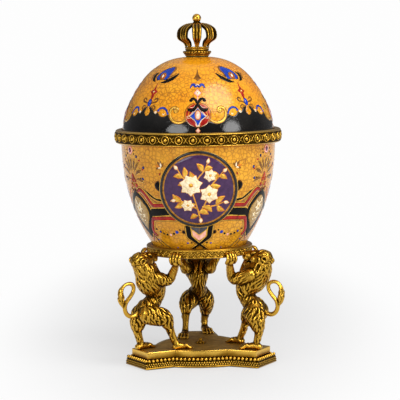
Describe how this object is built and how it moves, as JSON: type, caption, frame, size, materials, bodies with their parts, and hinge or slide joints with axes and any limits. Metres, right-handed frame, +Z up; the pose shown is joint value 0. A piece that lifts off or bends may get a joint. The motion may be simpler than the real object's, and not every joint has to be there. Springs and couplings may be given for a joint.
{
  "type": "egg trinket box on stand",
  "caption": "Egg-shaped glazed porcelain trinket box with a lift-off crowned lid and brass collar, held up by cast brass lions on a lobed plinth.",
  "frame": {"origin": "centre of the underside of the base, on the axis of the egg", "axes": "+Z up along the egg's axis, -Y toward the front with the painted medallion, +X to the viewer's right"},
  "size_m": [0.167, 0.1776, 0.347],
  "materials": {
    "porcelain": "glossy crackle glaze with painted ornament",
    "enamel": "glossy enamel",
    "cast_brass": "antique, chased and lightly polished on the high parts",
    "polished_brass": "polished",
    "steel": "plain zinc plated screws",
    "felt": "matte felt",
    "cork": "matte cork sheet"
  },
  "bodies": {
    "box": {"base_felt": "felt", "base_foot": "cast_brass", "base_plinth": "cast_brass", "base_rosette": "cast_brass", "lion_1": "cast_brass", "lion_tail_1": "cast_brass", "lion_2": "cast_brass", "lion_tail_2": "cast_brass", "lion_3": "cast_brass", "lion_tail_3": "cast_brass", "cradle_ring": "cast_brass", "cradle_plate": "cast_brass", "collar": "cast_brass", "bowl_bolt": "polished_brass", "bowl_washer": "polished_brass", "cradle_washer": "polished_brass", "cradle_nut": "polished_brass", "bowl_cork": "cork", "bowl_shell": "porcelain", "medallion_front": "enamel", "medallion_back": "enamel", "centre_screw": "steel", "lion_screw_1": "steel", "lion_screw_2": "steel", "lion_screw_3": "steel", "lion_screw_4": "steel", "lion_screw_5": "steel", "lion_screw_6": "steel"},
    "lid": {"lid_shell": "porcelain", "crown_pad": "felt", "crown_base": "cast_brass", "crown_bead_ring": "cast_brass", "crown_cap": "cast_brass", "crown_orb": "polished_brass", "crown_rod": "polished_brass", "lid_washer": "polished_brass", "lid_nut": "polished_brass", "crown_arch_1": "cast_brass", "crown_arch_2": "cast_brass", "crown_arch_3": "cast_brass", "crown_arch_4": "cast_brass", "crown_arch_5": "cast_brass", "crown_arch_6": "cast_brass", "crown_arch_7": "cast_brass", "crown_arch_8": "cast_brass"}
  },
  "joints": [
    {"name": "lid_lift", "type": "slide", "parent": "box", "child": "lid", "axis": [0, 0, 1], "range_m": [0, 0.14]}
  ]
}
